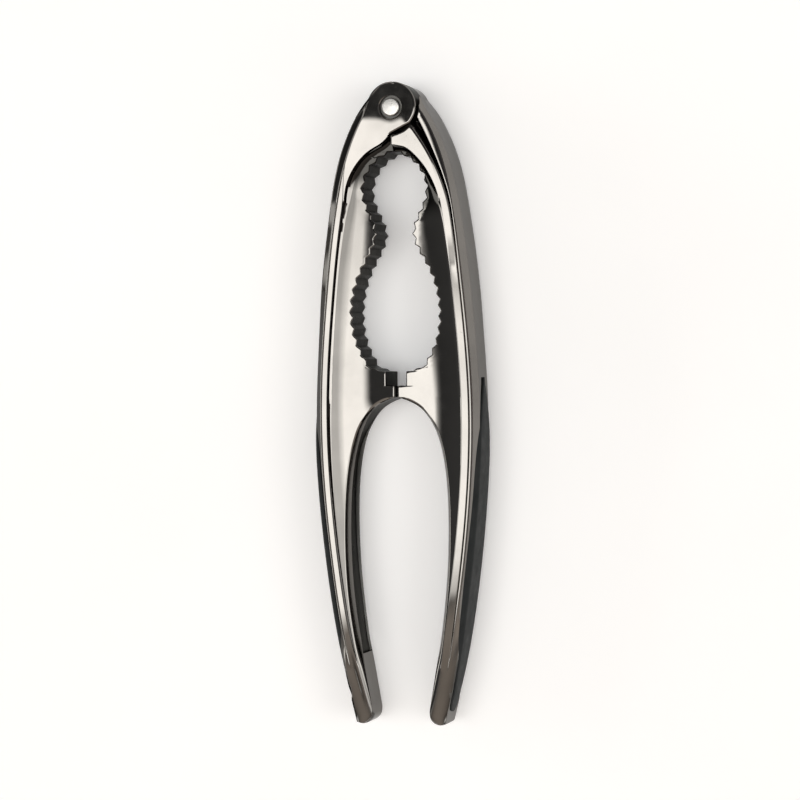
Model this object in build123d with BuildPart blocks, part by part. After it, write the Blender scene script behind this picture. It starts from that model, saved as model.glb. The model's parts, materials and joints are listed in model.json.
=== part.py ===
"""Lever nutcracker: two equal cast arms that lap at the head, a rivet and two inlaid grips.

The nutcracker lies flat. X runs across it, Y along it with the head towards +Y, and Z is up.
The origin is under the middle of its box. Each arm is drawn from the pivot: `u` is the distance
from the centre line, `v` the distance along it, `h` the height above the middle of the thickness.
"""

from build123d import *
from math import exp
import os

os.makedirs("parts", exist_ok=True)

# Overall size
overall_length = 165.4
thickness = 15.7
half = thickness / 2
head_radius = 6.6
pivot_y = overall_length / 2 - head_radius
tip_v = head_radius - overall_length

# Outer edge of an arm as (u, v) points. It starts at the head in one of two ways: the half that
# carries the knuckle runs round the head, and the half beside the other arm's knuckle ends square.
knuckle_start = [(3.2, 5.6), (6.5, 2.1)]
shoulder_start = [(6.9, 3.0)]
arm_edge = [
    (9.0, -1.2),
    (11.6, -6),
    (14.0, -12),
    (16.9, -24),
    (20.2, -50),
    (21.9, -78),
    (20.9, -102),
    (18.0, -127),
    (15.3, -143),
    (10.8, -162),
]
handle_edge = arm_edge[4:]
stations_per_arm = 24
stations_per_handle = 14

# Rim along the outer edge, at full size
flank_height = 4.4
bevel_width = 1.7
bevel_height = 6.7
groove_width = 0.4
groove_depth = 0.25
rim_width = 4.0
step_depth = 0.9
step_width = 0.2
head_shrink = 0.62
head_shrink_length = 12
smallest_rim = 0.2
tip_fall = 0.25
tip_fall_v = -138
tip_fall_length = 24

# Dished web between the rim and the jaw
web_thickness = 6.0
dish_reach = 14.0
dish_steps = 5

# Jaws
contact_gap = 0.1
tooth_pitch = 2.8
tooth_depth = 0.8
jaw_line = [
    (0, -11.3),
    (4.4, -13.6),
    (8.1, -21.4),
    (4.5, -31.9),
    (8.4, -41),
    (11.3, -51),
    (10.2, -60),
    (6.6, -66.8),
]
notch_half_width = 2.5
notch_top_v = -67.6
notch_floor_v = -71.4

# Gap between the handles, and the channel in the handles' inner sides
arch_v = -74.3
gap_line = [
    (0, arch_v),
    (5.9, -77),
    (9.4, -82),
    (12.0, -91),
    (13.1, -105),
    (12.4, -124),
    (10.1, -141),
    (8.2, -152),
]
channel_line = [(10.2, -84), (13.3, -92), (14.5, -105), (13.8, -122), (11.8, -137), (10.0, -142)]
channel_height = 9.0
tip_line = [(7.8, -154.3), (10.2, tip_v), (13.1, -154.5)]

# Head
knuckle_clearance = 0.55
lap_gap = 0.1
head_edge = [(0.3, -6.9), (2.2, -8.9), (5.2, -10.6), (8.4, -13.2), (10.6, -16.2), (12.4, -20), (13.4, -25)]
head_chord = [(-5.0, -4.3), (0.3, -6.9), (-5.0, -9.0)]
head_chamfer = 0.4

# Rivet
bore_radius = 1.8
shank_radius = 1.75
counterbore_radius = 3.0
counterbore_depth = 1.2
counterbore_chamfer = 0.2
rivet_head_radius = 2.3
rivet_dome = 0.25
rivet_recess = 0.1
washer_radius = 2.8
washer_thickness = 0.4
washer_play = 0.05

# Grips: (v, half width) of the leaf outline
grip_outline = [(-69.4, 0), (-79, 3.6), (-100, 5.6), (-120, 5.9), (-139, 4.9), (-151, 3.2)]
grip_end_v = -155.5
grip_proud = 0.5
grip_depth = 1.3
peg_ends = [(-92, 18.2), (-132, 13.9)]
peg_radius = 1.2
peg_length = 3.0
peg_fit = 0.05

middle = Plane.XY.offset(half)
middle_axis = Axis((0, 0, half), (0, 1, 0))
big = 40
below_v = tip_v - 10


def plan(h):
    """Plane parallel to the table at height h above mid-thickness, with its origin on the pivot."""
    return Plane((0, pivot_y, half + h))


def across(v):
    """Plane across the arm at v: local x is u and local y is h."""
    return Plane(origin=(0, pivot_y + v, half), x_dir=(1, 0, 0), z_dir=(0, -1, 0))


def dish_height(distance):
    """Height of the web's surface at a distance inwards from the rim."""
    rise = half - step_depth - web_thickness / 2
    return web_thickness / 2 + rise * max(0, 1 - distance / dish_reach) ** 2


def rim_size(v):
    """Size of the rim at v, as a share of its full size: it shrinks towards the head."""
    return max(smallest_rim, 1 - head_shrink * exp(v / head_shrink_length))


def rim_top(v):
    """Height of the rim at v, as a share of its full height: it falls away to the handle's tip."""
    return 1 - tip_fall * (max(0, tip_fall_v - v) / tip_fall_length) ** 2


def rim_profile(edge, v):
    """Rim of one arm from its flank over the bevel and the groove to its crest, as (u, h) points."""
    size, top = rim_size(v), rim_top(v)
    bevel = edge - bevel_width * size
    return [
        (edge, 0),
        (edge, flank_height * top),
        (bevel, bevel_height * top),
        (bevel - groove_width * size / 2, (bevel_height - groove_depth) * top),
        (bevel - groove_width * size, bevel_height * top),
        (edge - rim_width * size, half * top),
    ]


def half_arm(edge_points, stations, dished, grow=0):
    """Upper half of an arm, lofted along its outer edge: dished inside the rim, or full height."""
    edge = Spline(*edge_points)
    with BuildPart() as body:
        for i in range(stations + 1):
            u, v, _ = edge @ (i / stations)
            profile = rim_profile(u + grow, v)
            foot = u + grow - rim_width * rim_size(v) - step_width
            for j in range(dish_steps + 1):
                inner = foot * (1 - j / dish_steps)
                height = dish_height(foot - inner) if dished else half
                profile.append((inner, height * rim_top(v)))
            with BuildSketch(across(v)):
                with BuildLine():
                    Polyline(*profile, (0, 0), close=True)
                make_face()
        loft()
    return body.part


def serrated(line, pitch, depth):
    """Points of a zigzag that follows a line, its teeth's tips on the line and its valleys outside it."""
    steps = 2 * round(line.length / pitch)
    points = []
    for i in range(steps + 1):
        point = line @ (i / steps)
        along = line % (i / steps)
        outward = Vector(-along.Y, along.X) * depth * (i % 2)
        points.append(point + outward)
    return points


# The shapes that both halves of an arm are cut from
front_body = half_arm(shoulder_start + arm_edge, stations_per_arm, dished=True)
rear_body = half_arm(knuckle_start + arm_edge, stations_per_arm, dished=True).mirror(middle)
rear_head = half_arm(knuckle_start + arm_edge[:5], stations_per_handle, dished=False).mirror(middle)
grip_floor = half_arm(handle_edge, stations_per_handle, dished=False, grow=-grip_depth)
grip_skin = half_arm(handle_edge, stations_per_handle, dished=False, grow=grip_proud)
jaw_spline = Spline(*[Vector(*p) for p in jaw_line])
teeth = serrated(jaw_spline, tooth_pitch, tooth_depth)

with BuildPart() as grip_core:
    add(grip_floor)
    mirror(about=middle)

with BuildPart() as grip_pocket:
    with BuildSketch(Plane((0, pivot_y, half), x_dir=(0, 1, 0), z_dir=(1, 0, 0))):
        with BuildLine():
            leaf = Spline(*grip_outline)
            mirror(leaf, about=Plane.XZ)
            ThreePointArc(leaf @ 1, (grip_end_v, 0), (grip_outline[-1][0], -grip_outline[-1][1]))
        make_face()
    extrude(amount=big)
    add(grip_core.part, mode=Mode.SUBTRACT)

with BuildPart() as pegs:
    for v, u in peg_ends:
        with BuildSketch(Plane(origin=(u, pivot_y + v, half), x_dir=(0, 1, 0), z_dir=(1, 0, 0))):
            Circle(peg_radius)
        extrude(amount=peg_length)

with BuildPart() as peg_holes:
    for v, u in peg_ends:
        with BuildSketch(Plane(origin=(u - peg_fit, pivot_y + v, half), x_dir=(0, 1, 0), z_dir=(1, 0, 0))):
            Circle(peg_radius + peg_fit)
        extrude(amount=peg_length)

with BuildPart() as head_plate:
    with BuildSketch(plan(-half)):
        with BuildLine():
            head_line = Spline(*head_edge)
            Polyline(head_line @ 1, (big, -25), (big, big), (0.3, big), head_line @ 0)
        make_face()
    extrude(amount=half)
    add(rear_head, mode=Mode.INTERSECT)
    with BuildSketch(plan(-half)):
        Circle(head_radius)
        with BuildLine():
            Polyline(*head_chord, close=True)
        make_face(mode=Mode.SUBTRACT)
    extrude(amount=half)
    chamfer(edges().filter_by(GeomType.CIRCLE).sort_by(Axis.Z)[0], head_chamfer)

with BuildPart() as right_arm:
    add(front_body)
    add(rear_body)
    # Jaw opening with its teeth and the notch above the tips' contact
    with BuildSketch(plan(-big / 2)):
        with BuildLine():
            jaw = Polyline(*teeth, (notch_half_width, notch_top_v), (notch_half_width, notch_floor_v))
            Polyline(jaw @ 1, (-1, notch_floor_v), (-1, jaw_line[0][1]), jaw @ 0)
        make_face()
    extrude(amount=big, mode=Mode.SUBTRACT)
    # Gap between the handles, and the rounded end of the handle
    with BuildSketch(plan(-big / 2)):
        with BuildLine():
            inner = Spline(*gap_line, tip_line[0])
            ThreePointArc(*tip_line)
            end = Line(tip_line[-1], (big, tip_line[-1][1]))
            Polyline(end @ 1, (big, below_v), (-1, below_v), (-1, arch_v), inner @ 0)
        make_face()
    extrude(amount=big, mode=Mode.SUBTRACT)
    # Contact faces, just clear of the centre line
    with BuildSketch(plan(-big / 2)):
        with Locations((contact_gap / 2, 0)):
            Rectangle(big, 3 * overall_length, align=(Align.MAX, Align.CENTER))
    extrude(amount=big, mode=Mode.SUBTRACT)
    # Knuckle: the rear half of the head, and room for the other arm's knuckle in front of it
    add(head_plate.part)
    with BuildSketch(plan(-lap_gap / 2)):
        Circle(head_radius + knuckle_clearance)
    extrude(amount=big, mode=Mode.SUBTRACT)
    # Concave channel in the handle's inner side, bore and counterbore
    with BuildSketch(plan(-channel_height / 2)):
        with BuildLine():
            floor = Spline(*channel_line)
            Polyline(floor @ 1, (0, channel_line[-1][1]), (0, channel_line[0][1]), floor @ 0)
        make_face()
    extrude(amount=channel_height, mode=Mode.SUBTRACT)
    with BuildSketch(plan(-half)):
        Circle(bore_radius)
    extrude(amount=half, mode=Mode.SUBTRACT)
    with BuildSketch(plan(-half)):
        Circle(counterbore_radius)
    extrude(amount=counterbore_depth, mode=Mode.SUBTRACT)
    chamfer(faces().sort_by(Axis.Z)[0].inner_wires().edges(), counterbore_chamfer)
    # Recess of the grip with the blind holes for its pegs
    add(grip_pocket.part, mode=Mode.SUBTRACT)
    add(peg_holes.part, mode=Mode.SUBTRACT)
right_arm.part.label = "right_arm"

with BuildPart() as left_arm:
    add(right_arm.part.rotate(middle_axis, 180))
left_arm.part.label = "left_arm"

with BuildPart() as right_grip:
    add(grip_skin)
    mirror(about=middle)
    add(grip_pocket.part, mode=Mode.INTERSECT)
    add(pegs.part)
right_grip.part.label = "right_grip"

with BuildPart() as left_grip:
    add(right_grip.part.rotate(middle_axis, 180))
left_grip.part.label = "left_grip"

# Rivet: the front head in the left arm's counterbore, the formed tail on its washer at the back
head_top = thickness - rivet_recess
head_seat = thickness - counterbore_depth
tail_seat = counterbore_depth - washer_play - washer_thickness
with BuildPart() as pivot_rivet:
    with BuildSketch(Plane((0, pivot_y, 0), x_dir=(1, 0, 0), z_dir=(0, -1, 0))):
        with BuildLine():
            outline = Polyline(
                (0, head_top),
                (0, rivet_recess),
                (rivet_head_radius - rivet_dome, rivet_recess),
                (rivet_head_radius, rivet_recess + rivet_dome),
                (rivet_head_radius, tail_seat),
                (shank_radius, tail_seat),
                (shank_radius, head_seat),
                (rivet_head_radius, head_seat),
                (rivet_head_radius, head_top - rivet_dome),
            )
            TangentArc(outline @ 0, outline @ 1, tangent=(1, 0))
        make_face()
    revolve(axis=Axis((0, pivot_y, 0), (0, 0, 1)))
pivot_rivet.part.label = "pivot_rivet"

with BuildPart() as rivet_washer:
    with BuildSketch(Plane((0, pivot_y, tail_seat))):
        Circle(washer_radius)
        Circle(bore_radius, mode=Mode.SUBTRACT)
    extrude(amount=washer_thickness)
rivet_washer.part.label = "rivet_washer"

for piece in (left_arm, right_arm, left_grip, right_grip, pivot_rivet, rivet_washer):
    export_step(piece.part, f"parts/{piece.part.label}.step")
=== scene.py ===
import json
from math import cos, exp, hypot, pi, radians, sin, sqrt

import bmesh
import bpy
import numpy as np
from mathutils import Matrix, Vector


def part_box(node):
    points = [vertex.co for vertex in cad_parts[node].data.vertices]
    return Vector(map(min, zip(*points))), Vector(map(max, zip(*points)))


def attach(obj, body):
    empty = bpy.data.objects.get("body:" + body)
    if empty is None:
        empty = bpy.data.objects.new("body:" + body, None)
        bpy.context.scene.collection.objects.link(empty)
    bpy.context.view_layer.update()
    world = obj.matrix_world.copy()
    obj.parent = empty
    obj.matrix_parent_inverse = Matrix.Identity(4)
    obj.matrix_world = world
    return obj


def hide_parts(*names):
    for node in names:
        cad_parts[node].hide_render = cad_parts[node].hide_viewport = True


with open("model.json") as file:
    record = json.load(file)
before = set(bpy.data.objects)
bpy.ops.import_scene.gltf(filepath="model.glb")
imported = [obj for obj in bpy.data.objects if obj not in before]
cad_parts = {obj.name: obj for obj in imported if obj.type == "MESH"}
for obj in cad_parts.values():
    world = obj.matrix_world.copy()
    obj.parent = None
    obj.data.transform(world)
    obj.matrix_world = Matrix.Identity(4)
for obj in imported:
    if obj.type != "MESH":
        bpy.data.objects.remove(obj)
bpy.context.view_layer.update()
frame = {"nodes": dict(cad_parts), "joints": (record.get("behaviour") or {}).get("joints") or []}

# ---------------------------------------------------------------------------
# Driving values. Shapes are worked out in millimetres, seen from the pivot: u across from the
# centre line, v along (negative towards the handles) and h up from the middle of the thickness.
# ---------------------------------------------------------------------------
mm = 0.001
pivot = Vector(frame["joints"][0]["pos_m"]) / mm
arm_low, arm_high = (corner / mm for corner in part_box("left_arm"))
half = (arm_high.z - arm_low.z) / 2
head_radius = arm_high.y - pivot.y
tip_v = arm_low.y - pivot.y

# Outer edge, seen from above
knuckle_edge = [
    (3.2, 5.6),
    (6.5, 2.1),
    (9.0, -1.2),
    (11.6, -6),
    (14.0, -12),
    (16.9, -24),
    (20.2, -50),
    (21.9, -78),
    (20.9, -102),
    (18.0, -127),
    (15.3, -143),
    (10.8, -162),
]
shoulder_top = (6.9, 2.65)
shoulder_meets_v = -1.2

# Inner edge, seen from above
contact_u = 0.05
lap_h = -0.05
knuckle_clearance = 0.55
chord = [(-5.0, -4.3), (0.3, -6.9)]
jaw_line = [
    (contact_u, -11.3),
    (4.4, -13.6),
    (8.1, -21.4),
    (4.5, -31.9),
    (8.4, -41),
    (11.3, -51),
    (10.2, -60),
    (6.6, -66.8),
]
tooth_pitch = 2.8
tooth_depth = 0.8
jaw_shoulder = [(5.3, -66.95), (4.5, -67.55)]
notch_u = 2.5
notch_top_v = -67.7
notch_floor_v = -71.4
arch_v = -74.3
gap_line = [
    (contact_u, arch_v),
    (5.9, -77),
    (9.4, -82),
    (12.0, -91),
    (13.1, -105),
    (12.4, -124),
    (10.1, -141),
    (8.2, -152),
    (7.8, -154.3),
]
tip_centre = (10.45, -155.87)
tip_radius = -155.87 - tip_v

# Rim
flank_height = 4.4
bevel_width = 1.7
bevel_height = 6.7
groove_width = 0.4
groove_depth = 0.3
rim_width = 4.0
step_depth = 1.2
step_width = 0.2
border_width = 2.5
border_at_top = 0.6
knuckle_flank = [
    (6.6, 8),
    (6.6, -12),
    (6.2, -20),
    (5.6, -28),
    (5.5, -46),
    (4.5, -60),
    (4.4, -75),
    (4.4, -136),
    (5, -150),
    (5, -165),
]
tip_slope = 0.12
tip_slope_v = -124
tip_slope_bend = 16

# Head's plateau, and the web's fall from the plateau's edge and from the rim. The web's slope is
# steep at the head and gentle further down: (slope, v)
plateau_end_v = -25.5
plateau_points = {
    "knuckle": [(0.3, -6.9), (2.2, -8.9), (5.2, -10.6), (8.4, -13.2), (10.6, -16.2), (12.2, -20)],
    "shoulder": [(0.0, -9.8), (2.6, -9.9), (6.7, -12.7), (9.1, -15.6), (11.1, -19.2), (12.2, -22)],
}
web_height = {"knuckle": 5.1, "shoulder": 4.75}
web_bend = {"knuckle": 2.0, "shoulder": 1.35}
web_slope = [
    (2.2, 8),
    (2.2, -10),
    (1.85, -14),
    (1.25, -18),
    (0.87, -22),
    (0.62, -27),
    (0.49, -34),
    (0.47, -60),
    (0.47, -170),
]
jaw_rise = 0.19
tip_rise = 0.24


def spline(points, per_span=24):
    """Points of a natural cubic curve through the given points."""
    p = np.array(points, float)
    t = np.concatenate([[0], np.cumsum(np.linalg.norm(np.diff(p, axis=0), axis=1))])
    n, h = len(p), np.diff(t)
    matrix, right = np.eye(n), np.zeros((n, 2))
    for i in range(1, n - 1):
        matrix[i, i - 1 : i + 2] = h[i - 1], 2 * (h[i - 1] + h[i]), h[i]
        right[i] = 6 * ((p[i + 1] - p[i]) / h[i] - (p[i] - p[i - 1]) / h[i - 1])
    bend = np.linalg.solve(matrix, right)
    s = np.linspace(0, t[-1], per_span * (n - 1) + 1)
    k = np.clip(np.searchsorted(t, s, side="right") - 1, 0, n - 2)
    a, b, w = (s - t[k])[:, None], (t[k + 1] - s)[:, None], h[k][:, None]
    cubic = (bend[k] * b**3 + bend[k + 1] * a**3) / (6 * w)
    return cubic + (p[k] / w - bend[k] * w / 6) * b + (p[k + 1] / w - bend[k + 1] * w / 6) * a


def u_on(curve, v):
    """u of a curve of (u, v) points that runs towards the handles, at v."""
    return np.interp(-np.asarray(v, float), -curve[:, 1], curve[:, 0])


def smooth(x, low, high):
    """0 at low, 1 at high, and an even S between them."""
    t = np.clip((np.asarray(x, float) - low) / (high - low), 0, 1)
    return t * t * (3 - 2 * t)


def eased(v, start, end):
    """0 at v = start and 1 at v = end, whichever way that runs, with an even S between them."""
    way = 1 if end > start else -1
    return float(smooth(way * v, way * start, way * end))


def distance_to(curve, u, v):
    """Distance of points from a curve given by its points."""
    a, b = curve[:-1], curve[1:]
    d = b - a
    length2 = np.maximum((d**2).sum(1), 1e-12)
    best = np.full(np.shape(u), 1e9)
    for start, way, l2 in zip(a, d, length2):
        t = np.clip(((u - start[0]) * way[0] + (v - start[1]) * way[1]) / l2, 0, 1)
        best = np.minimum(best, np.hypot(u - start[0] - t * way[0], v - start[1] - t * way[1]))
    return best


least_fall = 0.012


def downhill(points):
    """The same points with v always falling a little, so that each v has one u."""
    p = np.array(points, float)
    for i in range(1, len(p)):
        p[i, 1] = min(p[i, 1], p[i - 1, 1] - least_fall)
    return p


tooth_probe = 0.2


def serrated(line):
    """Zigzag along the jaw: its teeth's tips on the line and its valleys outside it."""
    steps = np.linalg.norm(np.diff(line, axis=0), axis=1)
    s = np.concatenate([[0], np.cumsum(steps)])
    count = 2 * round(s[-1] / tooth_pitch)
    points = []
    for i in range(count + 1):
        at = s[-1] * i / count
        here = np.array([np.interp(at, s, line[:, k]) for k in (0, 1)])
        ahead = np.array([np.interp(at + tooth_probe, s, line[:, k]) for k in (0, 1)])
        back = np.array([np.interp(at - tooth_probe, s, line[:, k]) for k in (0, 1)])
        along = (ahead - back) / max(np.linalg.norm(ahead - back), 1e-9)
        points.append(here + np.array([-along[1], along[0]]) * tooth_depth * (i % 2))
    return points


# Curves of the arm's plan
outer_knuckle = spline(knuckle_edge)
slope_curve = spline(web_slope)
flank_curve = spline(knuckle_flank)
clear_radius = head_radius + knuckle_clearance
chord_fall = chord[0][1] - chord[1][1]
chord_run = chord[1][0] - chord[0][0]
chord_end_v = chord[1][1] + (chord[1][0] - contact_u) * chord_fall / chord_run
lap_contact = [(contact_u, chord_end_v), (contact_u, -7.2)]


def outer_u(side, v):
    """u of the outer edge at v, on one side of the lap."""
    v = np.asarray(v, float)
    u = u_on(outer_knuckle, v)
    if side == "shoulder":
        share = np.clip((v - shoulder_meets_v) / (shoulder_top[1] - shoulder_meets_v), 0, 1)
        extra = shoulder_top[0] - u_on(outer_knuckle, shoulder_top[1])
        u = u + extra * share**2
    else:
        disc = np.sqrt(np.maximum(head_radius**2 - v**2, 0))
        u = np.where(v > knuckle_edge[0][1], disc, np.maximum(u, np.where(v > 0, disc, 0)))
    tip = np.sqrt(np.maximum(tip_radius**2 - np.minimum(v - tip_centre[1], 0) ** 2, 0))
    return np.where(v < tip_centre[1], np.minimum(u, tip_centre[0] + tip), u)


def arc(radius, start, end, count):
    """Points of an arc round the pivot, between two angles in degrees."""
    angles = np.radians(np.linspace(start, end, count))
    return np.column_stack([radius * np.cos(angles), radius * np.sin(angles)])


def lower_inner_edge():
    """Inner edge from below the lap to the handle's tip: contact, teeth, notch, contact, gap, tip."""
    gap = spline(gap_line)
    angles = np.radians(np.linspace(180, 270, 14))[1:]
    tip = np.array(tip_centre) + tip_radius * np.column_stack([np.cos(angles), np.sin(angles)])
    tip = tip[tip[:, 1] < gap_line[-1][1]]
    return [
        *serrated(spline(jaw_line)),
        *jaw_shoulder,
        (notch_u, notch_top_v),
        (notch_u, notch_floor_v),
        (contact_u, notch_floor_v),
        *gap,
        *tip,
    ]


lower_edge = lower_inner_edge()
shoulder_start = np.degrees(np.arcsin(shoulder_top[1] / clear_radius))
shoulder_end = -89.6
disc_end = 180 + 40.7
shoulder_arc = arc(clear_radius, shoulder_start, shoulder_end, 40)
disc_arc = arc(head_radius, 90, disc_end, 44)
inner = {
    "shoulder": downhill([*shoulder_arc, *lower_edge]),
    "knuckle": downhill([*disc_arc, chord[0], *lap_contact, *lower_edge]),
}


def inner_u(side, v):
    """u of the inner edge at v, on one side of the lap."""
    return u_on(inner[side], v)


# ---------------------------------------------------------------------------
# Height of a half of the arm over its plan
# ---------------------------------------------------------------------------
def rim_top(v):
    """Height of the arm at v, as a share of its full height: it falls away to the handle's tip."""
    return 1 - tip_slope * hinge(tip_slope_v - v, tip_slope_bend) / half


corner_share = 0.35


def rounded(points, radii, splits):
    """A profile with its corners rounded and its straight runs divided, always into as many points."""
    p = np.array(points, float)
    out = [p[0]]
    for i in range(1, len(p)):
        run = p[i] - p[i - 1]
        length = max(np.linalg.norm(run), 1e-9)
        cut_start = min(radii[i - 1], corner_share * length) / length if i > 1 else 0
        cut_end = min(radii[i], corner_share * length) / length if i < len(p) - 1 else 0
        for t in np.linspace(cut_start, 1 - cut_end, splits[i - 1] + 1)[(1 if i == 1 else 0) :]:
            out.append(p[i - 1] + run * t)
        if i < len(p) - 1:
            after = p[i + 1] - p[i]
            after_length = np.linalg.norm(after)
            reach = min(radii[i], corner_share * after_length) / max(after_length, 1e-9)
            start, end = p[i] - run * cut_end, p[i] + after * reach
            out.append((start + 2 * p[i] + end) / 4)
    return np.array(out)


rim_splits = [4, 5, 2, 2, 2, 6, 1]
rim_radii = [0, 0.12, 0.5, 0.1, 0.12, 0.1, 0.08, 0]

# The strip above the bevel, the shoulder's valley and flat band, and the knuckle's border at the
# head. A span holds the v at which a feature starts and the v from which it is whole.
strip_width = 0.12
strip_slope = 0.3
shoulder_strip_width = 0.3
shoulder_strip_widening = 1.6
shoulder_strip_span = (-26, -5)
shoulder_bevel_narrowing = 0.45
shoulder_bevel_span = (-45, -20)
valley_width = 2.0
valley_v = -6
valley_widest_v = -3
valley_fade = 8
valley_deepening = 0.5
valley_deepest = 2
groove_bottom = 0.3
crest_past_groove = 0.5
band_rise = 0.15
band_below_top = 0.05
band_span = (-46, -26)
border_span = (-3, 4)
border_across = [0, 0, 0.93, 0.98, 1, 1.01, 1.02, 1.1]
border_falls = [0.35, 0.02, 0, 0, 0, 0]
border_fade_span = (-26, -14)


def rim_profile(side, v):
    """Rim from the lap plane up the flank, over the bevel and the groove, to the step's foot."""
    top = float(rim_top(v))
    groove, depth, bevel = groove_width, groove_depth, bevel_width
    strip, strip_rise = strip_width, strip_slope
    if side == "shoulder":
        widening = valley_width * exp((min(v, valley_widest_v) - valley_v) / valley_fade)
        at_head = eased(v, *shoulder_strip_span)
        strip = shoulder_strip_width + shoulder_strip_widening * at_head
        strip_rise = strip_slope * (1 - at_head)
        bevel -= shoulder_bevel_narrowing * eased(v, *shoulder_bevel_span)
        groove, depth = groove + widening, depth + valley_deepening * min(widening, valley_deepest)
    outside = bevel + strip
    crest = max(rim_width, outside + groove + crest_past_groove)
    band_foot = bevel_height + band_rise
    if side == "shoulder":
        band_foot += (half - band_below_top - band_foot) * eased(v, *band_span)
    points = np.array(
        [
            (0, lap_h if side == "shoulder" else -lap_h),
            (0, flank_height),
            (bevel, bevel_height * top),
            (outside, (bevel_height + strip_rise * strip) * top),
            (outside + groove_bottom * groove, (bevel_height - depth) * top),
            (outside + groove, band_foot * top),
            (crest, half * top),
            (crest + step_width, (half - step_depth) * top),
        ]
    )
    if side == "knuckle":
        points[1, 1] = float(u_on(flank_curve, v))
        border = border_width + (border_at_top - border_width) * eased(v, *border_span)
        across = np.array(border_across) * border
        up = np.array([-lap_h, points[1, 1], *(half - fall for fall in border_falls)])
        points += (np.column_stack([across, up]) - points) * eased(v, *border_fade_span)
    return points


plateau_step = 2.0
plateau_gap = 0.04


def plateau_edge(side):
    """Edge of the flat top, seen from above: round the head's plateau, then along the rim's foot."""
    foot = []
    for v in np.arange(plateau_end_v, tip_v, -plateau_step):
        foot.append((float(u_on(outer_knuckle, v)) - rim_profile(side, v)[-1][0] + plateau_gap, v))
    return downhill(spline(plateau_points[side] + foot, per_span=8))


def hinge(x, width):
    """0 below 0, then bending over a width into a straight slope of 1."""
    x = np.maximum(x, 0)
    return np.where(x < width, x * x / (2 * width), x - width / 2)


# The web: its foot at the step, the rises at the jaw's waist and at the jaw tips, and its painted shade
web_window = 14
step_run = 0.05
shoulder_slope_easing = 0.36
shoulder_slope_span = (-22, -30)
waist_start_span = (-24, -32)
waist_end_span = (-46, -60)
jaw_rise_from = 0.5
jaw_rise_bend = 4.5
tip_rise_u = 10
tip_rise_bend = 4
tip_rise_span = (-59, -67)
tip_rise_end_v = -82
# Painted shade on the web: where it ends below the head, how soft that end is, the knuckle web's lighter
# painted shade and how it fades in from the step
shade_end_v = {"knuckle": -20, "shoulder": -27}
shade_soft = 3
web_shade = 0.3
web_shade_span = (-34, -58)
shade_run = 0.5


def web_top(side, u, v):
    """Height of the web, falling from the edge of the flat top, and the painted shade on it."""
    edge = edges[side]
    gap = distance_to(edge[np.abs(edge[:, 1] - v) < web_window], u, v)
    gap = np.where((u > u_on(edge, v)) | (v > edge[0, 1]), 0, gap)
    drop = half - step_depth - web_height[side]
    slope = float(u_on(slope_curve, v))
    bend = web_bend[side]
    if side == "shoulder":
        slope *= 1 - shoulder_slope_easing * eased(v, *shoulder_slope_span)
    reach = bend * drop / slope
    fall = step_depth * smooth(gap, 0, step_run) + drop * (1 - np.clip(1 - gap / reach, 0, 1) ** bend)
    rise = 0
    if side == "knuckle":
        waist = eased(v, *waist_start_span) * (1 - eased(v, *waist_end_span))
        at_tips, past_arch = eased(v, *tip_rise_span), eased(v, arch_v, tip_rise_end_v)
        rise = jaw_rise * hinge(gap - jaw_rise_from * reach, jaw_rise_bend) * waist
        rise = rise + tip_rise * hinge(tip_rise_u - u, tip_rise_bend) * at_tips * (1 - past_arch)
    # Painted shade: dark below the head's plateau and, on the knuckle side, lighter over the upper web
    shade = 1 - eased(v, shade_end_v[side] + shade_soft, shade_end_v[side] - shade_soft)
    if side == "knuckle":
        shade = max(shade, web_shade * (1 - eased(v, *web_shade_span)))
    shade = smooth(gap, step_run, shade_run) * shade
    return np.minimum(half - fall + rise, half), shade


dome_v = -3.5
dome_middle = 1.1
dome_middle_u = 2.6
dome_left = 2.6
dome_left_span = (2.6, 5.2)
dome_slope = 0.055
dome_bend = 1.6


def head_dome(u, v):
    """How far the knuckle's face falls away towards the top of the head."""
    middle = dome_middle * np.exp(-((u / dome_middle_u) ** 2))
    start = dome_v - middle - dome_left * smooth(-u, *dome_left_span)
    return dome_slope * hinge(v - start, dome_bend)


edges = {side: plateau_edge(side) for side in ("knuckle", "shoulder")}
head_outline = np.array([*arc(head_radius, 90, 60, 16), *outer_knuckle[outer_knuckle[:, 1] > -6][::4]])


# The handle's inner edge, with its bevel, fillet and channel
inner_bevel_width = 0.6
inner_bevel_widening = 0.4
inner_bevel_depth = 0.5
inner_bevel_deepening = 1.4
inner_bevel_power = 1.2
inner_bevel_span = (-74.5, -84)
inner_bevel_fade = 0.6
inner_bevel_fade_span = (-138, -150)
knuckle_fillet = 0.5
edge_fillet = 0.32
channel_deepest = 1.5
channel_span = (-77, -92)
channel_easing = 0.3
channel_easing_span = (-105, -139)


def inward_bevel(v):
    """Width and depth of the bevel along the handle's inner edge, from the arch to the tip."""
    share = eased(v, *inner_bevel_span) * (1 - inner_bevel_fade * eased(v, *inner_bevel_fade_span))
    width = inner_bevel_width + inner_bevel_widening * share
    return width, inner_bevel_depth + inner_bevel_deepening * share


def edge_drop(side, gap, v):
    """How far the surface falls near the inner edge: a small fillet, or the handle's inward bevel."""
    if v < arch_v:
        wide, deep = inward_bevel(v)
        return deep * np.maximum(0, 1 - gap / wide) ** inner_bevel_power
    radius = knuckle_fillet if side == "knuckle" and v > chord_end_v else edge_fillet
    return radius - np.sqrt(np.maximum(radius**2 - np.maximum(radius - gap, 0) ** 2, 0))


def channel_depth(v):
    """Depth of the concave channel in the handle's inner side."""
    if v <= channel_end_v:
        return 0.0
    return channel_deepest * eased(v, *channel_span) * (1 - channel_easing * eased(v, *channel_easing_span))


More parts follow.
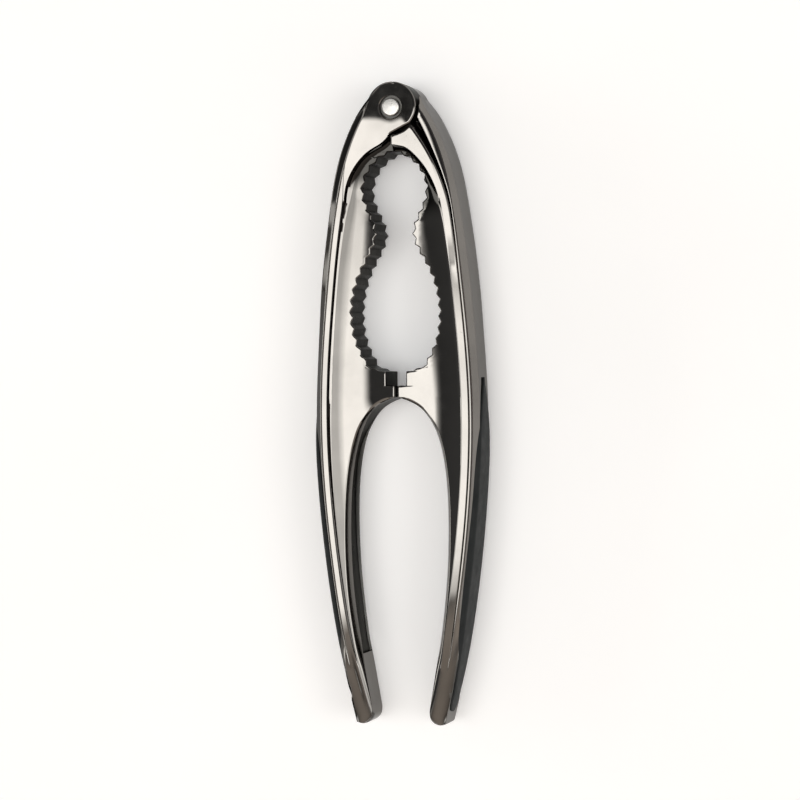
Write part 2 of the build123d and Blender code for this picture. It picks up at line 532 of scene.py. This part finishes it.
top_columns = 8
web_columns = 18
lap_steps = 4
edge_shares = [0.9, 0.72, 0.54, 0.38, 0.24, 0.12, 0.04, 0.0]
wall_rows = 9
channel_half = 4.7
channel_end_v = -140.5
channel_power = 0.6
channel_width_share = 0.5
tiny = 1e-6
no_width = 1e-3
slope_probe = 0.4
edge_reach = 0.7
edge_reach_past_bevel = 0.25
edge_width_share = 0.7
edge_stretch = 3.0
notch_span = (-66.5, notch_top_v)
notch_end_span = (-72.5, -74.2)
notch_narrowing = 0.35
web_spacing = 1.25
head_dome_end_v = -10
head_edge = 0.5
head_edge_span = (-4, 1)
spoon_span = (-135, -145)
# Painted shade on the smooth end's steep sides and in its crease
spoon_side_shade = 0.8
spoon_side_power = 2.5
crease_shade = 0.85
tip_cap_run = 8
brow_fall = 0.3


def slice_points(side, v):
    """Points of one half at v, from the lap plane up the flank, over the top and down the inner wall.

    Each point is (u, v, z, painted shade).
    """
    u_out, u_in = float(outer_u(side, v)), float(inner_u(side, v))
    plan_edge = float(u_on(outer_knuckle, v)) if v < shoulder_meets_v else u_out
    profile = rim_profile(side, v)
    foot = plan_edge - profile[-1][0]
    top = float(rim_top(v))
    profile[-1][1] = float(web_top(side, np.array([foot]), v)[0][0]) * top
    rim = rounded(profile, rim_radii, rim_splits)
    step = abs(u_on(inner[side], v + slope_probe) - u_on(inner[side], v - slope_probe)) / (2 * slope_probe)
    stretch = 1.0 if arch_v < v < notch_top_v else min(hypot(1, step), edge_stretch)
    width = max(u_out - u_in, 0)
    in_notch = eased(v, *notch_span) * (1 - eased(v, *notch_end_span))
    widest = edge_reach - notch_narrowing * in_notch
    if v < arch_v:
        widest = inward_bevel(v)[0] + edge_reach_past_bevel
    reach = min(widest * stretch, edge_width_share * width)
    web_end = contact_u if v > arch_v and u_in + reach > contact_u else u_in + reach
    edge_u = min(max(float(u_on(edges[side], v)), web_end), foot)
    on_top = foot + (edge_u - foot) * (np.arange(1, top_columns + 1) / top_columns)
    on_web = edge_u + (web_end - edge_u) * (np.arange(1, web_columns + 1) / web_columns) ** web_spacing
    u = np.concatenate([plan_edge - rim[:, 0], on_top, on_web])
    u = np.minimum(np.maximum(u, u_in + reach), u_out)
    u = np.concatenate([u, u_in + np.array(edge_shares) * reach])
    from_rim = np.maximum(plan_edge - u, tiny)
    web_h, shade = web_top(side, u, v)
    on_rim = from_rim <= rim[-1, 0]
    h = np.where(on_rim, np.interp(from_rim, rim[:, 0], rim[:, 1]), web_h * top)
    shade = np.where(on_rim, rim_shade(side, v, from_rim, profile), shade)
    flank = rim_splits[0] + 1
    shade[:flank] = 0
    if plan_edge > u_out + tiny:
        h[:flank] = np.minimum(rim[:flank, 1], h[:flank])
    else:
        h[:flank] = rim[:flank, 1]
    near = slice(flank, len(u))
    gap = distance_to(inner_near(side, v), u[near], v)
    h[near] -= edge_drop(side, gap, v)
    if side == "knuckle" and v > head_dome_end_v:
        rim_gap = distance_to(head_outline, u[near], v)
        rim_fall = head_edge * np.maximum(0, 1 - rim_gap / head_edge) * eased(v, *head_edge_span)
        h[near] -= head_dome(u[near], v) + rim_fall
    spoon = eased(v, *spoon_span)
    if spoon > 0:
        share = np.clip((u_out - u) / max(width, tiny), 0, 1)
        h[flank:] += (spoon_height(side, share[flank:], v) - h[flank:]) * spoon
        # Painted shade on the steep sides of the handle's smooth end and along its crease
        side_shade = spoon_side_shade * np.abs(2 * share - 1) ** spoon_side_power
        side_shade = np.maximum(side_shade, crease_shade * crease(side, share, v))
        side_shade[:flank] = 0
        shade = shade * (1 - spoon) + side_shade * spoon
    if v < tip_centre[1] + tip_cap_run:
        h = np.minimum(h, tip_cap(u, v, h))
    low = lap_h if side == "shoulder" else -lap_h
    h = np.maximum(h, low)
    brow = max(min(channel_half, h[-1] - brow_fall), (h[-1] + low) / 2)
    if width < no_width:
        brow = h[-1] + (low - h[-1]) * 2 / wall_rows
    wall_h = np.concatenate([np.linspace(h[-1], brow, 3)[1:], np.linspace(brow, low, wall_rows - 1)[1:]])
    hollow = np.maximum(0, 1 - (wall_h / channel_half) ** 2) ** channel_power
    wall_u = u[-1] + np.minimum(channel_depth(v) * hollow, channel_width_share * width)
    u, h = np.concatenate([u, wall_u]), np.concatenate([h, wall_h])
    shade = np.concatenate([shade, np.zeros(wall_rows)])
    if width < no_width:
        levels = np.linspace(low, h.max(), rim_splits[0] + 1)
        h = levels[np.argmin(np.abs(h[:, None] - levels), axis=1)]
        h[: len(levels)] = levels
    z = h if side == "shoulder" else -h
    return np.column_stack([u, np.full(len(u), v), z, shade])


# Painted shade on the knuckle's bevel and in the shoulder's valley
bevel_shade = 0.8
bevel_shade_soft = 0.1
valley_shade = 0.9
valley_shade_run = 0.3
valley_shade_ends = (-0.2, 0.15)
valley_shade_span = (-40, -20)


def rim_shade(side, v, from_rim, profile):
    """Painted shade over the rim: dark on the knuckle's bevel and in the shoulder's valley."""
    if side == "knuckle":
        crest = profile[2][0]
        return bevel_shade * (1 - smooth(from_rim, crest - bevel_shade_soft, crest + bevel_shade_soft))
    into, out_of = profile[3][0], profile[5][0]
    leaving = smooth(from_rim, *(out_of + end for end in valley_shade_ends))
    valley = smooth(from_rim, into, into + valley_shade_run) * (1 - leaving)
    return valley_shade * valley * eased(v, *valley_shade_span)


edge_window = 3.5


def inner_near(side, v):
    """The stretch of the inner edge near v."""
    curve = inner[side]
    near = np.abs(curve[:, 1] - v) < edge_window
    first, last = np.argmax(near), len(near) - np.argmax(near[::-1])
    return curve[max(first - 1, 0) : last + 1]


# The handle's smooth end: its crease, its dome and its rounded tip
crease_at = 0.58
crease_drift = 0.12
crease_drift_span = (-139, -155)
crease_start_span = (-138, -142)
crease_end_span = (-148, -156)
crease_width = 0.06
crease_depth = 0.1
spoon_top = 7.1
tip_cap_width = 2.4
tip_edge_height = 2.6


def crease(side, share, v):
    """The crease across the knuckle side of the handle's smooth end, 1 at its bottom."""
    if side == "shoulder":
        return np.zeros(len(share))
    middle = crease_at + crease_drift * eased(v, *crease_drift_span)
    along = eased(v, *crease_start_span) * (1 - eased(v, *crease_end_span))
    return np.exp(-(((share - middle) / crease_width) ** 2)) * along


def spoon_height(side, share, v):
    """Height of the handle's smooth end, domed between its flank and its inner side, with its crease."""
    dome = np.maximum(0, 1 - np.abs(2 * share - 1) ** 3) ** 0.6
    height = flank_height + (spoon_top * float(rim_top(v)) - flank_height) * dome
    return height - crease_depth * crease(side, share, v)


def tip_cap(u, v, h):
    """The most that the height may be near the rounded end of the handle."""
    gap = tip_radius - np.hypot(u - tip_centre[0], np.minimum(v - tip_centre[1], 0))
    share = np.clip(gap / tip_cap_width, 0, 1)
    crown = np.sqrt(np.maximum(0, 1 - (1 - share) ** 2))
    cap = tip_edge_height + (half - tip_edge_height) * crown
    return h + (np.minimum(h, cap) - h) * smooth(tip_centre[1] + tip_cap_run - v, 0, tip_cap_run)


def crossing_v():
    """v where the knuckle's outer edge meets the circle that clears the other arm's knuckle."""
    v = np.linspace(0, shoulder_top[1], 3001)
    gap = outer_u("knuckle", v) - np.sqrt(clear_radius**2 - v**2)
    return float(v[np.argmin(np.abs(gap))])


# Where the arm is sliced: (from, to, step) along v, with closer slices beside the corners
slice_steps = [
    (-30, head_radius, 0.3),
    (-78, -30, 0.4),
    (-150, -78, 0.8),
    (tip_centre[1], -150, 0.4),
]
beside_corner = [-0.5, -0.3, -0.15, -0.05, 0.05, 0.15, 0.3]
least_step = 0.1
least_corner_step = 0.008


def stations():
    """Values of v, from the head to the tip, at which the arm is sliced."""
    rows = [inner[side][:, 1] for side in inner]
    rows += [np.arange(*steps) for steps in slice_steps]
    rows.append(tip_centre[1] - tip_radius * np.sin(np.linspace(0, pi / 2, 16)))
    for at in (notch_floor_v, arch_v, jaw_line[0][1]):
        rows.append(at - np.array(beside_corner))
    fixed = [head_radius, shoulder_top[1], crossing_v(), shoulder_meets_v, arch_v, notch_floor_v]
    every = np.sort(np.concatenate(rows))[::-1]
    every = every[(every < head_radius) & (every > tip_v)]
    kept = [head_radius]
    corners = np.concatenate([fixed, inner["shoulder"][:, 1]])
    for v in every:
        is_corner = np.min(np.abs(corners - v)) < tiny
        if kept[-1] - v > (least_corner_step if is_corner else least_step):
            kept.append(float(v))
    kept += [v for v in fixed if min(abs(v - k) for k in kept) > 1e-9]
    kept.append(tip_v)
    return sorted(set(kept), reverse=True)


no_wall = 10**6
weld_distance = 0.004
sliver = 0.002


def casting_mesh():
    """One closed mesh of an arm: both halves, the lap faces and the end of the shoulder."""
    every = stations()
    bm = bmesh.new()
    # Per-vertex painted shade, which darkens the plating's colour
    shades = bm.verts.layers.float.new("shade")

    def strip(first, second, wall_from=no_wall):
        for k in range(len(first) - 1):
            face = bm.faces.new([first[k], first[k + 1], second[k + 1], second[k]])
            # Wall faces take the rough wall plating, whose dark colour is painted shade
            face.material_index = int(k >= wall_from)

    def row(points):
        verts = [bm.verts.new(p[:3]) for p in points]
        for vert, point in zip(verts, points):
            vert[shades] = point[3] if len(point) > 3 else 0.0
        return verts

    ends = {}
    for side in ("knuckle", "shoulder"):
        last = None
        for v in every:
            if side == "shoulder" and v > shoulder_top[1] + 1e-9:
                continue
            points = slice_points(side, v)
            if last is None and side == "shoulder":
                end_u = np.linspace(points[-1][0], points[0][0], lap_steps + 1)
                nearest = end_u[np.argmin(np.abs(points[:, 0][:, None] - end_u), axis=1)]
                last = row([(u, v, lap_h) for u in nearest])
            here = row(points)
            if last is not None:
                strip(last, here, len(points) - wall_rows - 1 if v > channel_end_v else no_wall)
            last = here
            ends[side, v] = (points[-1][0], points[0][0])
    lap = [v for v in every if v > -clear_radius - 0.1]
    for v, below in zip(lap, lap[1:]):
        rows = []
        for at in (v, below):
            k_in, k_out = ends["knuckle", at]
            s_in, s_out = ends.get(("shoulder", at), (k_out, k_out))
            rows.append([(k_in, min(s_in, k_out)), (max(s_in, k_out), s_out)])
        for part, (a, b) in enumerate(zip(*rows)):
            if part == 1 and ("shoulder", v) not in ends:
                continue
            strip(
                row([(u, v, lap_h) for u in np.linspace(*a, lap_steps + 1)]),
                row([(u, below, lap_h) for u in np.linspace(*b, lap_steps + 1)]),
            )
    bmesh.ops.remove_doubles(bm, verts=bm.verts, dist=weld_distance)
    bmesh.ops.dissolve_degenerate(bm, edges=bm.edges, dist=sliver)
    bmesh.ops.recalc_face_normals(bm, faces=bm.faces)
    return bm


# ---------------------------------------------------------------------------
# Objects
# ---------------------------------------------------------------------------
sharp_angle = 38


def place(bm, name, body, materials, turned=False):
    """An object of a mesh made about the pivot, in metres, riding on a body."""
    if turned:
        bmesh.ops.rotate(bm, verts=bm.verts, matrix=Matrix.Rotation(pi, 3, "Y"))
    bmesh.ops.translate(bm, verts=bm.verts, vec=pivot)
    bmesh.ops.scale(bm, verts=bm.verts, vec=(mm, mm, mm))
    mesh = bpy.data.meshes.new(name)
    bm.to_mesh(mesh)
    bm.free()
    mesh.shade_smooth()
    mesh.set_sharp_from_angle(angle=radians(sharp_angle))
    for material in materials:
        mesh.materials.append(material)
    piece = bpy.data.objects.new(name, mesh)
    bpy.context.scene.collection.objects.link(piece)
    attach(piece, body)
    return piece


def lathe(profile, segments=96):
    """Closed mesh of a profile of (radius, z) points, from the axis round to the axis."""
    bm = bmesh.new()
    rings = []
    for radius, z in profile:
        if radius < 1e-9:
            rings.append([bm.verts.new((0, 0, z))] * segments)
            continue
        angles = [2 * pi * i / segments for i in range(segments)]
        rings.append([bm.verts.new((radius * cos(a), radius * sin(a), z)) for a in angles])
    for low, high in zip(rings, rings[1:]):
        for i in range(segments):
            j = (i + 1) % segments
            corners = list(dict.fromkeys([low[i], low[j], high[j], high[i]]))
            if len(corners) > 2:
                bm.faces.new(corners)
    bmesh.ops.recalc_face_normals(bm, faces=bm.faces)
    return bm


bore_radius = 1.8
shank_radius = 1.75
counterbore_radius = 3.0
counterbore_depth = 1.2
counterbore_chamfer = 0.25
rivet_head_radius = 2.3
rivet_dome = 0.25
rivet_recess = 0.1
rivet_rings = 26
rivet_crown = 0.14
rivet_edge_fall = 0.13
turning_depth = 0.008
turning_pitch = 2.6
turning_at_axis = 0.4
washer_thickness = 0.45
cutter_over = 2
bore_margin = 0.05
face_margin = 0.3


def bore_cutter():
    """Bore with its counterbore in the knuckle's face, as a solid to cut with."""
    face = -half + float(head_dome(0, 0))
    seat = -half + counterbore_depth
    return lathe(
        [
            (0, face - cutter_over),
            (counterbore_radius + counterbore_chamfer + cutter_over, face - cutter_over),
            (counterbore_radius, face + counterbore_chamfer),
            (counterbore_radius, seat),
            (bore_radius, seat),
            (bore_radius, 1),
            (0, 1),
        ]
    )


def cut(piece, cutter_bm, name):
    """Cuts a mesh made about the pivot out of a piece, exactly."""
    bmesh.ops.translate(cutter_bm, verts=cutter_bm.verts, vec=pivot)
    bmesh.ops.scale(cutter_bm, verts=cutter_bm.verts, vec=(mm, mm, mm))
    mesh = bpy.data.meshes.new(name)
    cutter_bm.to_mesh(mesh)
    cutter_bm.free()
    cutter = bpy.data.objects.new(name, mesh)
    bpy.context.scene.collection.objects.link(cutter)
    modifier = piece.modifiers.new(name, "BOOLEAN")
    modifier.operation = "DIFFERENCE"
    modifier.solver = "EXACT"
    modifier.object = cutter
    apply_modifiers(piece)
    bpy.data.objects.remove(cutter)


def apply_modifiers(piece):
    """Makes the piece's mesh what its modifiers show."""
    bpy.context.view_layer.update()
    seen = piece.evaluated_get(bpy.context.evaluated_depsgraph_get())
    mesh = bpy.data.meshes.new_from_object(seen)
    piece.modifiers.clear()
    piece.data = mesh


# Grip: a domed leaf on the flank, bent over the edge of the bevel
grip_outline = [(-69.4, 0), (-79, 3.6), (-100, 5.6), (-120, 5.9), (-139, 4.9), (-151, 3.2)]
grip_end_v = -155.5
grip_proud = 0.48
grip_depth = 1.3
grip_taper = 1.5
grip_corner = 0.9
grip_crown = 0.12
grip_edge_fall = 0.35
grip_edge_from = 0.86
grip_edge_run = 0.14
grip_columns = 25
grip_rows = 100
grip_clearance = 0.05


def grip_half_width(v):
    """Half of the leaf's width at v."""
    end_v, end_w = grip_outline[-1]
    reach = end_v - grip_end_v
    radius = (reach**2 + end_w**2) / (2 * reach)
    if v < end_v:
        return sqrt(max(0, radius**2 - (v - grip_end_v - radius) ** 2))
    curve = spline([(w, at) for at, w in grip_outline], per_span=60)
    return max(0, float(np.interp(-v, -curve[:, 1], curve[:, 0])))


def grip_mesh(grow=0.0):
    """The right grip's skin, edge and back, as a closed mesh."""
    columns = np.sin(np.linspace(-pi / 2, pi / 2, grip_columns))
    reach = np.linspace(0, 1, grip_rows)
    along = grip_outline[0][0] + (grip_end_v - grip_outline[0][0]) * (1 - np.cos(pi * reach)) / 2
    bm = bmesh.new()
    rows = []
    for v in along:
        wide = grip_half_width(v)
        if wide > 0:
            wide += grow
        edge = float(u_on(outer_knuckle, v))
        top = float(rim_top(v))
        skin = []
        for t in columns:
            z = wide * t
            over = max(0, abs(z) - flank_height * top)
            bend = bevel_width / ((bevel_height - flank_height) * top)
            drop = bend * (sqrt(over**2 + grip_corner**2) - grip_corner) if over > 0 else 0
            near_edge = max(0, (abs(t) - grip_edge_from) / grip_edge_run)
            edge_fall = grip_edge_fall * (1 - sqrt(max(0, 1 - near_edge**2)))
            crown = grip_crown * (1 - t * t) - edge_fall
            skin.append((edge + grip_proud + crown - grip_crown - drop + grow, v, z))
        depth = grip_depth * min(1, wide / grip_taper)
        back = [(u - grip_proud - depth - 2 * grow, at, z) for u, at, z in reversed(skin)]
        rows.append([bm.verts.new(p) for p in skin + back])
    for first, second in zip(rows, rows[1:]):
        for k in range(len(first)):
            j = (k + 1) % len(first)
            bm.faces.new([first[k], first[j], second[j], second[k]])
    for end in (rows[0], rows[-1]):
        bm.faces.new(end)
    bmesh.ops.remove_doubles(bm, verts=bm.verts, dist=weld_distance)
    bmesh.ops.dissolve_degenerate(bm, edges=bm.edges, dist=sliver)
    bmesh.ops.recalc_face_normals(bm, faces=bm.faces)
    return bm


def rivet_mesh():
    """The rivet with turning marks on both faces, its shank in the bore."""
    top = half - rivet_recess
    face = []
    flat = rivet_head_radius - rivet_dome
    for i in range(rivet_rings + 1):
        radius = flat * i / rivet_rings
        dome = rivet_crown * (1 - (radius / rivet_head_radius) ** 2) - rivet_crown
        depth = turning_at_axis + (1 - turning_at_axis) * i / rivet_rings
        mark = turning_depth * cos(2 * pi * i / turning_pitch) * depth
        face.append((radius, top + dome + mark))
    for angle in (20, 45, 70, 90):
        swing = radians(angle)
        face.append((flat + rivet_dome * sin(swing), top - rivet_edge_fall - rivet_dome * (1 - cos(swing))))
    seat = half - counterbore_depth
    front = face + [(rivet_head_radius, seat), (shank_radius, seat)]
    back = [(r, -z) for r, z in reversed(face)]
    washer_top = -(half - counterbore_depth) - washer_thickness
    profile = front + [(shank_radius, washer_top), (rivet_head_radius, washer_top)] + back
    return lathe(profile)


# ---------------------------------------------------------------------------
# Materials
# ---------------------------------------------------------------------------
def new_material(name):
    """A new material with its nodes, its links and its shader."""
    material = bpy.data.materials.new(name)
    material.use_nodes = True
    nodes, links = material.node_tree.nodes, material.node_tree.links
    return material, nodes, links, nodes["Principled BSDF"]


def noise(nodes, links, scale, detail, roughness, stretch=(1, 1, 1)):
    """Noise over the object's own coordinates, in turns per metre."""
    coordinates = nodes.new("ShaderNodeTexCoord")
    mapping = nodes.new("ShaderNodeMapping")
    mapping.inputs["Scale"].default_value = stretch
    texture = nodes.new("ShaderNodeTexNoise")
    texture.inputs["Scale"].default_value = scale
    texture.inputs["Detail"].default_value = detail
    texture.inputs["Roughness"].default_value = roughness
    links.new(coordinates.outputs["Object"], mapping.inputs["Vector"])
    links.new(mapping.outputs["Vector"], texture.inputs["Vector"])
    return texture.outputs["Fac"]


def ramp(nodes, links, value, stops):
    """A value turned into colours or greys between stops of (place, colour)."""
    node = nodes.new("ShaderNodeValToRGB")
    elements = node.color_ramp.elements
    while len(elements) < len(stops):
        elements.new(0.5)
    for element, (at, colour) in zip(elements, stops):
        element.position = at
        element.color = (*colour, 1) if len(colour) == 3 else (colour[0],) * 3 + (1,)
    links.new(value, node.inputs["Fac"])
    return node.outputs["Color"]


def bump(nodes, links, value, strength, distance, normal=None):
    """A normal bumped by a value, over another normal if one is given."""
    node = nodes.new("ShaderNodeBump")
    node.inputs["Strength"].default_value = strength
    node.inputs["Distance"].default_value = distance
    links.new(value, node.inputs["Height"])
    if normal is not None:
        links.new(normal, node.inputs["Normal"])
    return node.outputs["Normal"]


# Near-black colour of the painted shade that the mesh's shade attribute mixes into the plating
painted_shade_colour = (0.03, 0.029, 0.027, 1)


def plating(name, light, dark, roughness, ripple, edge_tint):
    """Mirror plating: slightly uneven tone, faint haze and the casting's shallow ripples and pits.

    Where the mesh's shade attribute is high, the colour is mixed towards a near-black painted shade.
    """
    material, nodes, links, shader = new_material(name)
    shader.inputs["Metallic"].default_value = 1.0
    shader.inputs["Specular Tint"].default_value = (edge_tint, edge_tint, edge_tint, 1)
    tone = noise(nodes, links, scale=60, detail=5, roughness=0.55)
    colour = ramp(nodes, links, tone, [(0.3, dark), (0.7, light)])
    # Painted shade: the mesh's shade attribute mixes the base colour towards near-black
    shade = nodes.new("ShaderNodeAttribute")
    shade.attribute_name = "shade"
    painted_shade_mix = nodes.new("ShaderNodeMix")
    painted_shade_mix.data_type = "RGBA"
    links.new(shade.outputs["Fac"], painted_shade_mix.inputs["Factor"])
    links.new(colour, painted_shade_mix.inputs[6])
    painted_shade_mix.inputs[7].default_value = painted_shade_colour
    links.new(painted_shade_mix.outputs[2], shader.inputs["Base Color"])
    haze = noise(nodes, links, scale=220, detail=6, roughness=0.6)
    stops = [(0.35, (roughness[0],)), (0.75, (roughness[1],))]
    links.new(ramp(nodes, links, haze, stops), shader.inputs["Roughness"])
    waves = noise(nodes, links, scale=110, detail=2, roughness=0.4, stretch=(1, 0.35, 1))
    normal = bump(nodes, links, waves, ripple, 0.0006)
    pits = noise(nodes, links, scale=1500, detail=3, roughness=0.5)
    specks = ramp(nodes, links, pits, [(0.0, (0.0,)), (0.27, (1.0,))])
    links.new(bump(nodes, links, specks, 0.25, 0.00008, normal), shader.inputs["Normal"])
    return material


def inlay():
    """Matt black soft-touch moulding with a fine grain."""
    material, nodes, links, shader = new_material("grip_inlay_matt")
    shader.inputs["Metallic"].default_value = 0.0
    shader.inputs["Specular IOR Level"].default_value = 0.16
    tone = noise(nodes, links, scale=140, detail=6, roughness=0.6)
    stops = [(0.3, (0.011, 0.013, 0.0135)), (0.7, (0.021, 0.0235, 0.024))]
    links.new(ramp(nodes, links, tone, stops), shader.inputs["Base Color"])
    haze = noise(nodes, links, scale=300, detail=5, roughness=0.6)
    links.new(ramp(nodes, links, haze, [(0.3, (0.55,)), (0.75, (0.72,))]), shader.inputs["Roughness"])
    grain = noise(nodes, links, scale=5200, detail=4, roughness=0.65)
    links.new(bump(nodes, links, grain, 0.3, 0.00006), shader.inputs["Normal"])
    return material


def turned_steel():
    """Pale turned steel, a little brighter and duller in turn along its circular marks."""
    material, nodes, links, shader = new_material("rivet_turned_steel")
    shader.inputs["Metallic"].default_value = 1.0
    coordinates = nodes.new("ShaderNodeTexCoord")
    mapping = nodes.new("ShaderNodeMapping")
    mapping.inputs["Location"].default_value = (-pivot.x * mm, -pivot.y * mm, 0)
    rings = nodes.new("ShaderNodeTexWave")
    rings.wave_type = "RINGS"
    rings.rings_direction = "Z"
    rings.inputs["Scale"].default_value = 900
    rings.inputs["Distortion"].default_value = 1.2
    rings.inputs["Detail"].default_value = 3
    rings.inputs["Detail Scale"].default_value = 2
    links.new(coordinates.outputs["Object"], mapping.inputs["Vector"])
    links.new(mapping.outputs["Vector"], rings.inputs["Vector"])
    stops = [(0.2, (0.34, 0.335, 0.32)), (0.8, (0.52, 0.51, 0.49))]
    links.new(ramp(nodes, links, rings.outputs["Fac"], stops), shader.inputs["Base Color"])
    haze = noise(nodes, links, scale=900, detail=4, roughness=0.6)
    links.new(ramp(nodes, links, haze, [(0.3, (0.24,)), (0.7, (0.4,))]), shader.inputs["Roughness"])
    links.new(bump(nodes, links, rings.outputs["Fac"], 0.3, 0.00003), shader.inputs["Normal"])
    return material


chrome = plating(
    "black_chrome",
    light=(0.215, 0.205, 0.192),
    dark=(0.175, 0.167, 0.157),
    roughness=(0.05, 0.12),
    ripple=0.05,
    edge_tint=0.6,
)
# Rougher plating for the jaws' inner walls and the bore; its dark colour is painted shade
shaded_rough_wall = plating(
    "black_chrome_rough_painted_shade",
    light=(0.075, 0.073, 0.068),
    dark=(0.045, 0.045, 0.043),
    roughness=(0.26, 0.4),
    ripple=0.25,
    edge_tint=0.45,
)
steel = turned_steel()
rubber = inlay()

# Arms
right_arm = place(casting_mesh(), "right_arm_shell", "right_side", [chrome, shaded_rough_wall])
cut(right_arm, bore_cutter(), "bore_cut")
cut(right_arm, grip_mesh(grip_clearance), "grip_cut")
# Faces of the bore and counterbore take the rough wall plating: painted shade in the hole
for face in right_arm.data.polygons:
    across = face.center / mm - pivot
    in_bore = hypot(across.x, across.y) < counterbore_radius + bore_margin
    if in_bore and abs(across.z) < half - face_margin:
        face.material_index = 1
left_mesh = right_arm.data.copy()
turn = Matrix.Translation(pivot * mm) @ Matrix.Rotation(pi, 4, "Y") @ Matrix.Translation(-pivot * mm)
left_mesh.transform(turn)
left_arm = bpy.data.objects.new("left_arm_shell", left_mesh)
bpy.context.scene.collection.objects.link(left_arm)
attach(left_arm, "left_side")
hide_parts("right_arm")
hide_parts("left_arm")
for arm in (right_arm, left_arm):
    arm.data.set_sharp_from_angle(angle=radians(sharp_angle))
    weighted = arm.modifiers.new("weighted", "WEIGHTED_NORMAL")
    weighted.keep_sharp = True
    apply_modifiers(arm)

# Grips, rivet and washer
right_grip = place(grip_mesh(), "right_grip_inlay", "right_side", [rubber])
left_grip = place(grip_mesh(), "left_grip_inlay", "left_side", [rubber], turned=True)
rivet = place(rivet_mesh(), "rivet_turned", "left_side", [steel])
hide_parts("right_grip")
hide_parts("left_grip")
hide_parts("pivot_rivet")
washer = frame["nodes"]["rivet_washer"]
washer.data.materials.clear()
washer.data.materials.append(steel)

# ---------------------------------------------------------------------------
# Floor, light and camera
# ---------------------------------------------------------------------------
def floor():
    """A white paper floor, faintly glowing, as a stage for the part."""
    bpy.ops.mesh.primitive_plane_add(size=6)
    plane = bpy.context.object
    plane.name = "studio_floor"
    material, nodes, links, shader = new_material("floor_paper")
    tone = noise(nodes, links, scale=9, detail=4, roughness=0.5)
    stops = [(0.3, (0.86, 0.86, 0.86)), (0.7, (0.9, 0.9, 0.9))]
    links.new(ramp(nodes, links, tone, stops), shader.inputs["Base Color"])
    shader.inputs["Roughness"].default_value = 0.9
    shader.inputs["Emission Color"].default_value = (1, 1, 1, 1)
    shader.inputs["Emission Strength"].default_value = 0.2
    plane.data.materials.append(material)


def within(nodes, links, value, low, high, soft):
    """1 where a value lies between low and high, with soft edges."""
    sides = []
    for start, end in ((low - soft, low + soft), (high + soft, high - soft)):
        node = nodes.new("ShaderNodeMapRange")
        node.interpolation_type = "SMOOTHSTEP"
        node.inputs["From Min"].default_value = min(start, end)
        node.inputs["From Max"].default_value = max(start, end)
        node.inputs["To Min"].default_value = 0.0 if end > start else 1.0
        node.inputs["To Max"].default_value = 1.0 if end > start else 0.0
        links.new(value, node.inputs["Value"])
        sides.append(node.outputs["Result"])
    return product(nodes, links, *sides)


def product(nodes, links, *values):
    """Product of the values of any number of sockets."""
    result = values[0]
    for value in values[1:]:
        node = nodes.new("ShaderNodeMath")
        node.operation = "MULTIPLY"
        for socket, factor in zip(node.inputs, (result, value)):
            links.new(factor, socket)
        result = node.outputs["Value"]
    return result


def studio_world():
    """Dim studio with soft panels.

    Three strips of different brightness are overhead, a low one is on the left, and beyond the
    handles' ends there is a brown glow.
    """
    world = bpy.data.worlds.new("studio")
    bpy.context.scene.world = world
    world.use_nodes = True
    nodes, links = world.node_tree.nodes, world.node_tree.links
    background = nodes["Background"]
    coordinates = nodes.new("ShaderNodeTexCoord")
    split = nodes.new("ShaderNodeSeparateXYZ")
    links.new(coordinates.outputs["Generated"], split.inputs["Vector"])
    x, y, z = (split.outputs[axis] for axis in "XYZ")
    walls = [
        (0.0, (0.34, 0.31, 0.28)),
        (0.12, (0.3, 0.28, 0.26)),
        (0.35, (0.2, 0.2, 0.2)),
        (1.0, (0.05, 0.05, 0.05)),
    ]
    colour = ramp(nodes, links, z, walls)
    white, brown = (1, 0.99, 0.97), (1, 0.86, 0.74)
    along = (y, -0.22, 0.14, 0.05)
    overhead = (z, 0.3, 2, 0.1)
    # Strength, tint, and the directions that a panel fills: (part of the direction, low, high, softness)
    panels = [
        (4.6, white, (x, -0.5, 0.22, 0.14), along, overhead),
        (2.2, white, (x, 0.22, 0.64, 0.1), along, overhead),
        (4.4, white, (x, 0.64, 0.86, 0.04), along, overhead),
        (4.2, white, (x, -2, -0.8, 0.03), (y, -0.26, 0.45, 0.05), (z, 0.05, 0.3, 0.03)),
        (0.55, brown, (y, -2, -0.27, 0.07), (z, 0.0, 2, 0.05)),
    ]
    for strength, tint, *ranges in panels:
        masks = [within(nodes, links, *span) for span in ranges]
        add = nodes.new("ShaderNodeMix")
        add.data_type = "RGBA"
        add.blend_type = "ADD"
        add.clamp_result = False
        links.new(product(nodes, links, *masks), add.inputs["Factor"])
        add.inputs[7].default_value = (*(strength * share for share in tint), 1)
        links.new(colour, add.inputs[6])
        colour = add.outputs[2]
    links.new(colour, background.inputs["Color"])
    background.inputs["Strength"].default_value = 1.0


floor()
studio_world()

camera_place = (0.18831, 0.00868, 0.64)
camera_turn = (-0.01517, 0.29022, -0.01228)
sensor_width = 36.0
focal_length = 114.615
camera_data = bpy.data.cameras.new("camera")
camera = bpy.data.objects.new("camera", camera_data)
bpy.context.scene.collection.objects.link(camera)
camera.location = camera_place
camera.rotation_euler = camera_turn
camera_data.sensor_width = sensor_width
camera_data.lens = focal_length
bpy.context.scene.camera = camera
bpy.context.scene.view_settings.view_transform = "Standard"
